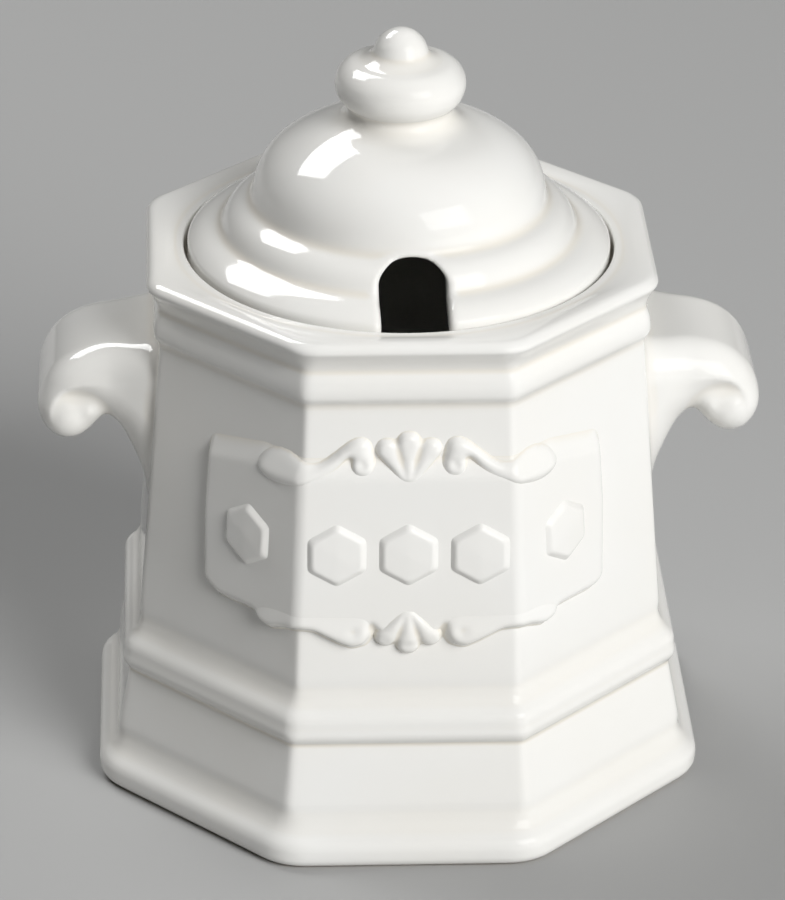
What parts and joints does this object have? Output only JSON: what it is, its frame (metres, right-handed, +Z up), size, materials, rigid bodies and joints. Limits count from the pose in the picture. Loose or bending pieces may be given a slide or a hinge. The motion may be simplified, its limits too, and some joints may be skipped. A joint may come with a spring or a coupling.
{
  "type": "honey pot",
  "caption": "Octagonal white glazed ceramic honey pot with two scroll handles, an embossed plaque and a round domed lift-off lid with a knob and a slot for the dipper.",
  "frame": {"origin": "on the table under the middle of the pot, at the foot's underside", "axes": "+Z up; -Y is the front with the plaque and the lid's slot; +X and -X point to the two handles"},
  "size_m": [0.1238, 0.1056, 0.1331],
  "materials": {
    "white_glaze": "glossy white glaze"
  },
  "bodies": {
    "pot": {"pot_vessel": "white_glaze", "left_handle": "white_glaze", "right_handle": "white_glaze", "label_plaque": "white_glaze", "plaque_cells": "white_glaze", "crest_fan": "white_glaze", "crest_scroll_left": "white_glaze", "crest_scroll_right": "white_glaze", "apron_fan": "white_glaze", "apron_scroll_left": "white_glaze", "apron_scroll_right": "white_glaze"},
    "lid": {"lid_dome": "white_glaze", "lid_knob": "white_glaze"}
  },
  "joints": [
    {"name": "lid_lift", "type": "slide", "parent": "pot", "child": "lid", "axis": [0, 0, 1], "range_m": [0, 0.08]}
  ]
}
